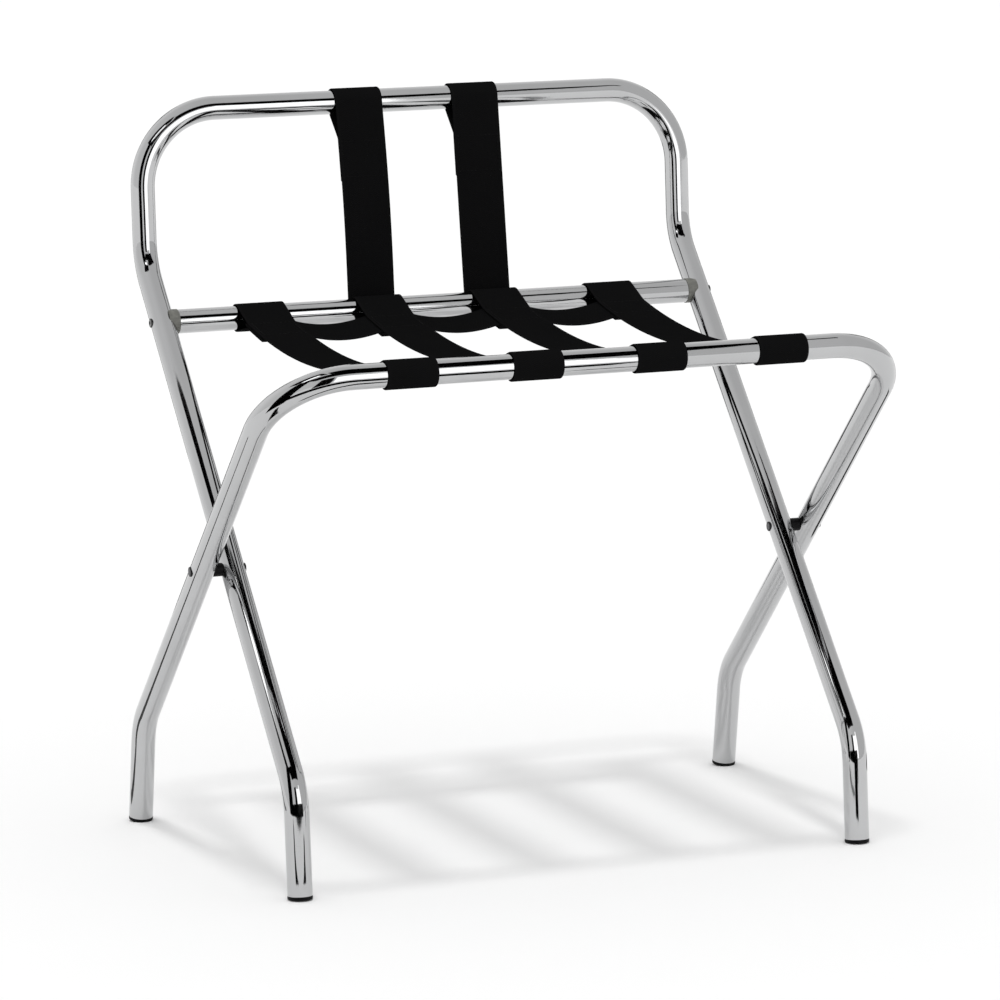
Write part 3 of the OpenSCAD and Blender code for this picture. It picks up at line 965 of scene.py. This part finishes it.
class StrapPaths:
    """Where every strap runs, in the side view."""

    def __init__(self, straps):
        self.straps = straps
        self.layer = straps.thickness + straps.gap
        self.loop_r = TUBE_R + straps.gap + straps.thickness / 2
        self.outer_r = self.loop_r + self.layer
        self.rear_seam = CROSSBAR + Vector((-straps.loop_l, -straps.rear_drop))
        self.front_seam = SEAT_RAIL + Vector((straps.loop_l, straps.front_rise))
        chord = self.rear_seam - self.front_seam
        half = chord.length / 2
        self.sag_r = (half ** 2 + straps.sag ** 2) / (2 * straps.sag)
        self.sag_centre = ((self.rear_seam + self.front_seam) / 2
                           + turned(chord.normalized()) * (self.sag_r - straps.sag))
        self.sag_mid = heading(-turned(chord))
        self.sag_half = math.asin(half / self.sag_r)
        self.tail = math.asin(straps.tail_l / self.sag_r)
        self.rear_depth = 2 * self.layer + straps.tail_clear
        self.front_depth = self.layer
        self.low_depth = self.rear_depth + self.layer
        rear_tail = self.on_sag(self.sag_half, self.rear_depth)
        front_tail = self.on_sag(-self.sag_half, self.front_depth)
        self.seat = (
            self.along(self.sag_half - self.tail, self.sag_half, self.rear_depth, TAIL_STEPS)
            + loop(CROSSBAR, self.loop_r, rear_tail, self.rear_seam)
            + self.along(self.sag_half, -self.sag_half, 0.0, SAG_STEPS)
            + loop(SEAT_RAIL, self.loop_r, self.front_seam, front_tail)
            + self.along(-self.sag_half, self.tail - self.sag_half, self.front_depth, TAIL_STEPS)
        )
        drop = CROSSBAR - TOP_BAR
        out = heading(drop) + 1.5 * math.pi + math.asin((self.loop_r + self.outer_r) / drop.length)
        top = on_circle(TOP_BAR, self.loop_r, out)
        low = on_circle(CROSSBAR, self.outer_r, out + math.pi)
        self.back_down = (low - top).normalized()
        self.back_out = toward(out)
        self.back_seam = top + self.back_down * straps.loop_l - self.back_out * self.layer
        back_tail = self.back_seam + self.back_down * straps.tail_l
        low_tail = self.on_sag(self.sag_half, self.low_depth)
        self.back = (
            self.along(self.sag_half - self.tail, self.sag_half, self.low_depth, TAIL_STEPS)
            + wrap(CROSSBAR, self.outer_r, touch(low_tail, CROSSBAR, self.outer_r, 1), out - math.pi)
            + [low + (top - low) * k / BACK_STEPS for k in range(1, BACK_STEPS)]
            + wrap(TOP_BAR, self.loop_r, out, touch(self.back_seam, TOP_BAR, self.loop_r, 1))
            + [self.back_seam + (back_tail - self.back_seam) * k / BACK_TAIL_STEPS
               for k in range(BACK_TAIL_STEPS + 1)]
        )
        self.cross_angle = self.sag_half - self.tail + math.asin(straps.width / 2 / self.sag_r)
        self.fold_start = place(0.0, self.on_sag(self.sag_half - self.tail))
        self.fold_end = place(0.0, self.on_sag(self.tail - self.sag_half))

    def on_sag(self, a, depth=0.0):
        """A point of the sagging arc at an angle from its middle, at a depth below the strap's middle."""
        return on_circle(self.sag_centre, self.sag_r + depth, self.sag_mid + a)

    def along(self, start, end, depth, steps):
        return [self.on_sag(start + (end - start) * k / steps, depth) for k in range(steps + 1)]

    def cross(self):
        """The cross strap's path from left to right: distance to the right and height above its seat."""
        s = self.straps
        start = s.pitch / 2 - s.width / 2
        radius = (start ** 2 + s.cross_sag ** 2) / (2 * s.cross_sag)
        half = math.asin(start / radius)
        end = 1.5 * s.pitch + s.width / 2
        down = -math.pi / 2
        path = [Vector((-end + s.width * k / FLAT_STEPS, 0.0)) for k in range(FLAT_STEPS)]
        for bay in (-1, 0, 1):
            centre = Vector((bay * s.pitch, radius - s.cross_sag))
            path += wrap(centre, radius, down - half, down + half, BACK_STEPS)
            if bay < 1:
                path += [path[-1] + Vector((s.width * k / FLAT_STEPS, 0.0)) for k in range(1, FLAT_STEPS)]
        return path + [Vector((end - s.width + s.width * k / FLAT_STEPS, 0.0))
                       for k in range(1, FLAT_STEPS + 1)]


def strap_section(width, thickness, columns=12, round_steps=3):
    """Outline of a strap across its width, with round selvedges: (across, out, v) points."""
    flat_half = width / 2 - thickness / 2
    top = [(-flat_half + 2 * flat_half * k / columns, thickness / 2) for k in range(columns + 1)]
    right = [(flat_half + math.sin(math.pi * k / (round_steps + 1)) * thickness / 2,
              math.cos(math.pi * k / (round_steps + 1)) * thickness / 2) for k in range(1, round_steps + 1)]
    bottom = [(a, -o) for a, o in reversed(top)]
    left = [(-a, -o) for a, o in right]
    return top + right + bottom + left


def strip(name, places, outs, across, straps, material):
    """A closed strap of webbing along a path, with its UV map in metres."""
    section = strap_section(straps.width, straps.thickness)
    points = []
    travel = [0.0]
    for a, b in zip(places, places[1:]):
        travel.append(travel[-1] + (b - a).length)
    for middle_point, out in zip(places, outs):
        points += [middle_point + across * a + out * o for a, o in section]
    edges = [a + straps.width / 2 for a, _ in section]
    made = skin(name, points, travel, list(zip(edges, edges[1:] + edges[:1])), False, material, "Weave")
    made.data.set_sharp_from_angle(angle=math.radians(60))
    return made, travel[-1]


def slack(p):
    """How freely a back strap hangs at a height: 0 at the bars and 1 halfway between them."""
    up = (p.y - CROSSBAR.y) / (TOP_BAR.y - CROSSBAR.y)
    return math.sin(math.pi * min(max(up, 0.0), 1.0))


def clean(path, nearest=TINY):
    """A path without its repeated points."""
    kept = [path[0]]
    for p in path[1:]:
        if (p - kept[-1]).length > nearest:
            kept.append(p)
    return kept


def facing(path):
    """The side direction at every point of a path in the plane."""
    outs = []
    for i, p in enumerate(path):
        before = (p - path[i - 1]).normalized() if i else (path[1] - p).normalized()
        after = (path[i + 1] - p).normalized() if i < len(path) - 1 else before
        outs.append(turned((before + after).normalized()))
    return outs


class RACK_OT_straps(bpy.types.Operator):
    """Make the webbing straps of the seat and the backrest"""
    bl_idname = "rack.straps"
    bl_label = "Webbing straps"

    def execute(self, context):
        straps = context.scene.rack_straps
        material = finishes(context)["webbing"]
        paths = StrapPaths(straps)
        for group, path in ((SEAT_STRAPS, paths.seat), (BACK_STRAPS, paths.back)):
            for node, spot in group.items():
                side_path = clean(path)
                outs = [place(0.0, o) for o in facing(side_path)]
                bow = straps.left_bow if node == "back_strap_left" else 0.0
                line = [place(spot * straps.pitch + bow * slack(p), p) for p in side_path]
                made, run = strip(node + "_webbing", line, outs, Vector((1, 0, 0)), straps, material)
                if group is SEAT_STRAPS:
                    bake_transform(made)
                else:
                    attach(made, BACK)
                self.declare(made, node, straps, run)
        middle_place = paths.on_sag(paths.cross_angle, paths.layer)
        up = turned(toward(paths.sag_mid + paths.cross_angle + math.pi / 2))
        across = place(0.0, turned(up))
        cross = clean(paths.cross())
        line = [Vector((p.x, *middle_place)) + place(0.0, up) * p.y for p in cross]
        outs = [Vector((o.x, 0, 0)) + place(0.0, up) * o.y for o in facing(cross)]
        made, run = strip("cross_strap_webbing", line, outs, across, straps, material)
        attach(made, BACK)
        self.declare(made, "cross_strap", straps, run)
        return {"FINISHED"}

    def declare(self, made, node, straps, run):
        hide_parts(node)
        under = [n + "_webbing" for n in SEAT_STRAPS] if node == "cross_strap" else ["crossbar_chrome"]


# --- stitches ---

def stitch_tree():
    """Geometry nodes that sew a stitch at every step along the edges of a mesh."""
    tree = bpy.data.node_groups.new("stitches", "GeometryNodeTree")
    tree.interface.new_socket("Rows", in_out="INPUT", socket_type="NodeSocketGeometry")
    for name, kind in (("Spacing", "Float"), ("Length", "Float"), ("Thread", "Float"),
                       ("Seed", "Int"), ("Material", "Material")):
        tree.interface.new_socket(name, in_out="INPUT", socket_type="NodeSocket" + kind)
    tree.interface.new_socket("Stitches", in_out="OUTPUT", socket_type="NodeSocketGeometry")

    g = Nodes(tree)
    given = tree.nodes.new("NodeGroupInput").outputs
    rows = g.node("GeometryNodeMeshToCurve", Mesh=given["Rows"])
    steps = g.node("GeometryNodeResampleCurve", {"mode": "LENGTH"}, Curve=rows, Length=given["Spacing"])
    tangent = g.node("GeometryNodeInputTangent")
    turn = g.node("FunctionNodeAlignRotationToVector", {"axis": "X"}, Vector=tangent)
    bead = g.node("GeometryNodeMeshUVSphere", Segments=8, Rings=6, Radius=0.5)
    size = g.node("ShaderNodeCombineXYZ", X=given["Length"], Y=given["Thread"], Z=given["Thread"])
    stitch = g.node("GeometryNodeTransform", Geometry=bead, Scale=size)
    shortest, longest = STITCH_SPREAD
    stretch = g.node("FunctionNodeRandomValue", {"data_type": "FLOAT"}, out=1,
                     in_2=shortest, in_3=longest, Seed=given["Seed"])
    sewn = g.node("GeometryNodeInstanceOnPoints", Points=steps, Instance=stitch,
                  Rotation=turn, Scale=stretch)
    real = g.node("GeometryNodeRealizeInstances", Geometry=sewn)
    smooth = g.node("GeometryNodeSetShadeSmooth", Geometry=real)
    coloured = g.node("GeometryNodeSetMaterial", Geometry=smooth, Material=given["Material"])
    g.node("NodeGroupOutput", in_0=coloured)
    return tree


def sew(name, rows, straps, thread, seed):
    """Stitches along rows of points, as one plain mesh."""
    points, edges = [], []
    for row in rows:
        edges += [(len(points) + k, len(points) + k + 1) for k in range(len(row) - 1)]
        points += row
    made = new_object(name, points, [], [thread], edges=edges)
    tree = bpy.data.node_groups.get("stitches") or stitch_tree()
    modifier = made.modifiers.new("Stitches", "NODES")
    modifier.node_group = tree
    values = {"Spacing": straps.stitch_l + straps.stitch_gap, "Length": straps.stitch_l,
              "Thread": straps.thread_d, "Seed": seed, "Material": thread}
    for socket in tree.interface.items_tree:
        if socket.name in values:
            modifier[socket.identifier] = values[socket.name]
    evaluated = made.evaluated_get(bpy.context.evaluated_depsgraph_get())
    mesh = bpy.data.meshes.new_from_object(evaluated)
    made.modifiers.clear()
    made.data = mesh
    return made


class RACK_OT_stitches(bpy.types.Operator):
    """Sew the straps' tails down with a box of stitches on both faces of each seam"""
    bl_idname = "rack.stitches"
    bl_label = "Stitches"

    inset = 4 * MM

    def execute(self, context):
        straps = context.scene.rack_straps
        thread = finishes(context)["thread"]
        paths = StrapPaths(straps)
        rise = straps.thickness / 2 + straps.thread_d * STITCH_LIFT
        rear, front, upper = [], [], []
        for spot in SEAT_STRAPS.values():
            under = paths.low_depth if spot in BACK_STRAPS.values() else paths.rear_depth
            for depth in (-rise, under + rise):
                rear += self.box(spot, straps, lambda run, d=depth: paths.on_sag(
                    paths.sag_half - run / paths.sag_r, d))
            for depth in (-rise, paths.front_depth + rise):
                front += self.box(spot, straps, lambda run, d=depth: paths.on_sag(
                    run / paths.sag_r - paths.sag_half, d))
        for spot in BACK_STRAPS.values():
            for out in (-rise, paths.layer + rise):
                upper += self.box(spot, straps, lambda run, o=out: paths.back_seam
                                  + paths.back_down * run + paths.back_out * o)
        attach(sew("rear_seam_stitches", rear, straps, thread, 3), BACK)
        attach(sew("back_strap_stitches", upper, straps, thread, 7), BACK)
        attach(sew("front_seam_stitches", front, straps, thread, 5), FRONT)
        return {"FINISHED"}

    def box(self, spot, straps, along, steps=8):
        """The four sides of a box of stitches, on the face that along(distance past the seam) gives."""
        middle_x = spot * straps.pitch
        side = straps.width / 2 - self.inset
        start, end = self.inset, straps.tail_l - self.inset
        runs = [start + (end - start) * k / steps for k in range(steps + 1)]
        rows = [[place(middle_x + x, along(run)) for run in runs] for x in (-side, side)]
        rows += [[place(middle_x - side, along(run)), place(middle_x + side, along(run))]
                 for run in (start, end)]
        return rows


# --- panel and registration ---

class RACK_PT_panel(bpy.types.Panel):
    """The rack's pieces, in the sidebar of the 3D view"""
    bl_idname = "RACK_PT_panel"
    bl_label = "Luggage Rack"
    bl_space_type = "VIEW_3D"
    bl_region_type = "UI"
    bl_category = "Luggage Rack"

    def draw(self, context):
        layout = self.layout
        for name in GROUPS:
            group = getattr(context.scene, name)
            box = layout.box()
            for setting in group.bl_rna.properties.keys():
                if setting not in ("rna_type", "name"):
                    box.prop(group, setting)
        for operator in OPERATORS:
            layout.operator(operator.bl_idname)


GROUPS = {
    "rack_tubes": RackTubeSettings,
    "rack_straps": RackStrapSettings,
    "rack_fittings": RackFittingSettings,
    "rack_finish": RackFinishSettings,
    "rack_studio": RackStudioSettings,
}
OPERATORS = (RACK_OT_studio, RACK_OT_tubes, RACK_OT_fittings, RACK_OT_straps, RACK_OT_stitches)


def register():
    for cls in (*GROUPS.values(), *OPERATORS, RACK_PT_panel):
        bpy.utils.register_class(cls)
    for name, group in GROUPS.items():
        setattr(bpy.types.Scene, name, bpy.props.PointerProperty(type=group))


def unregister():
    for name in GROUPS:
        delattr(bpy.types.Scene, name)
    for cls in reversed((*GROUPS.values(), *OPERATORS, RACK_PT_panel)):
        bpy.utils.unregister_class(cls)


def main():
    register()
    bpy.ops.rack.studio()
    bpy.ops.rack.tubes()
    bpy.ops.rack.fittings()
    bpy.ops.rack.straps()
    bpy.ops.rack.stitches()


if __name__ == "__main__":
    main()
